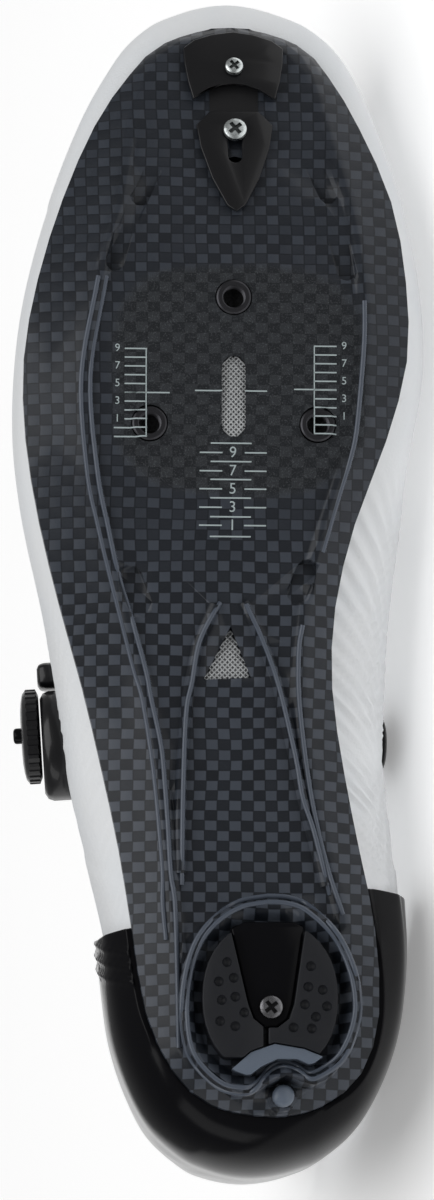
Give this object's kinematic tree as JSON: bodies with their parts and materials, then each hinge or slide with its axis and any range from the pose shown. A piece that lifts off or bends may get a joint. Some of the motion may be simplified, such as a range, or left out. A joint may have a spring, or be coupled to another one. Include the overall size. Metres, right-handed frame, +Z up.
{
  "type": "cycling shoe",
  "caption": "Road cycling shoe for the right foot with a stiff vented sole, cleat inserts, heel cup and lace dial, lying on its inner side.",
  "frame": {"origin": "middle of the bounding box, on the floor the shoe lies on", "axes": "+Y from heel to toe, +X from the collar to the sole, +Z up with the outer side of the shoe on top"},
  "size_m": [0.1236, 0.2822, 0.0988],
  "materials": {
    "white_synthetic": "smooth white coated synthetic",
    "carbon": "clear-coated woven carbon",
    "black_gloss": "gloss black",
    "black_matte": "fine matt black",
    "black_rubber": "dimpled black rubber",
    "grey_plastic": "satin blue grey",
    "bright_steel": "plated steel",
    "dark_steel": "blackened steel",
    "light_mesh": "light grey mesh",
    "black_fabric": "black knit"
  },
  "bodies": {
    "shoe": {"ball_mesh": "light_mesh", "cleat_insert_front": "dark_steel", "cleat_insert_inner": "dark_steel", "cleat_insert_outer": "dark_steel", "dial_base": "black_matte", "dial_button": "black_matte", "dial_guide": "black_matte", "dial_knob": "black_matte", "guide_inner_1": "black_matte", "guide_inner_2": "black_matte", "guide_inner_3": "black_matte", "guide_outer_1": "black_matte", "guide_outer_2": "black_matte", "guide_outer_3": "black_matte", "heel_bridge": "grey_plastic", "heel_counter": "black_gloss", "heel_pad_inner": "black_rubber", "heel_pad_outer": "black_rubber", "heel_pin": "grey_plastic", "heel_screw": "dark_steel", "heel_wedge": "black_matte", "inner_anchor": "black_gloss", "insole": "black_fabric", "lace_bar_1": "dark_steel", "lace_bar_2": "dark_steel", "lace_bar_3": "dark_steel", "lace_lead": "dark_steel", "outsole": "carbon", "shank_mesh": "light_mesh", "toe_plate": "black_gloss", "toe_plate_screw": "bright_steel", "tongue": "black_fabric", "upper": "white_synthetic", "vent_screw": "bright_steel"},
    "vent": {"vent_slider": "black_gloss"}
  },
  "joints": [
    {"name": "vent_slide", "type": "slide", "parent": "shoe", "child": "vent", "axis": [-0.2861, 0.9512, -0.1156], "range_m": [0, 0.005]}
  ]
}
